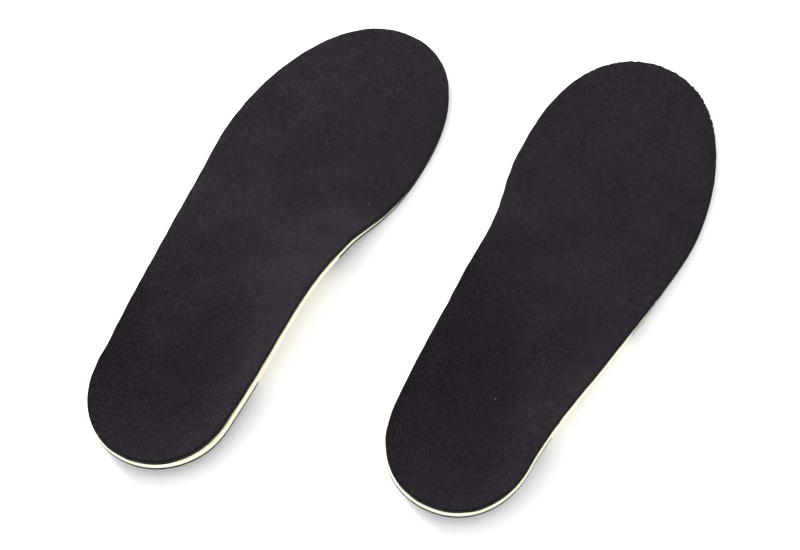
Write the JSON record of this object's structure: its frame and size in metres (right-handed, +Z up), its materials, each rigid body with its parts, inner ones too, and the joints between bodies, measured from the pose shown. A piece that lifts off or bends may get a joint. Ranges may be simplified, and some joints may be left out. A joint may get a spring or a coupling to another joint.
{
  "type": "cushioned insole",
  "caption": "Left and right cushioned shoe insoles: knitted cover over thin foam, moulded foam arch bed, firm heel cup, and a thin forefoot that flexes at the ball.",
  "frame": {"origin": "centre of the pair's bounding box in plan, at the level of the surface that the soles lie on", "axes": "+Z up from the soles to the top faces, +Y from the heels to the toes, +X from the left insole to the right one"},
  "size_m": [0.2298, 0.3102, 0.0234],
  "materials": {
    "knit_cover": "fine black warp knit, matt with a faint sheen",
    "black_foam": "black open-cell polyurethane foam, matt, cut edges",
    "cream_foam": "cream moulded foam, satin skin",
    "shell_plastic": "black moulded plastic, fine satin texture",
    "grey_gel": "grey soft gel, slightly glossy",
    "grip_cloth": "black woven anti-slip cloth"
  },
  "bodies": {
    "left_rear": {"left_top_cover_rear": "knit_cover", "left_cushion_rear": "black_foam", "left_foam_bed": "cream_foam", "left_heel_shell": "shell_plastic", "left_heel_pad": "grey_gel", "left_forefoot_pad_rear": "grey_gel", "left_lining_rear": "grip_cloth"},
    "left_forefoot": {"left_top_cover_fore": "knit_cover", "left_cushion_fore": "black_foam", "left_forefoot_pad_fore": "grey_gel", "left_lining_fore": "grip_cloth"},
    "right_rear": {"right_top_cover_rear": "knit_cover", "right_cushion_rear": "black_foam", "right_foam_bed": "cream_foam", "right_heel_shell": "shell_plastic", "right_heel_pad": "grey_gel", "right_forefoot_pad_rear": "grey_gel", "right_lining_rear": "grip_cloth"},
    "right_forefoot": {"right_top_cover_fore": "knit_cover", "right_cushion_fore": "black_foam", "right_forefoot_pad_fore": "grey_gel", "right_lining_fore": "grip_cloth"}
  },
  "joints": [
    {"name": "left_toe_flex", "type": "hinge", "parent": "left_rear", "child": "left_forefoot", "pos_m": [-0.0616, 0.0309, 0.0057], "axis": [0.969, 0.247, 0], "range_deg": [0, 50], "stiffness_Nm_per_rad": 0.05},
    {"name": "right_lift", "type": "slide", "parent": "left_rear", "child": "right_rear", "axis": [0, 0, 1], "range_m": [0, 0.12]},
    {"name": "right_toe_flex", "type": "hinge", "parent": "right_rear", "child": "right_forefoot", "pos_m": [0.0616, 0.0706, 0.0057], "axis": [0.969, -0.247, 0], "range_deg": [0, 50], "stiffness_Nm_per_rad": 0.05}
  ]
}
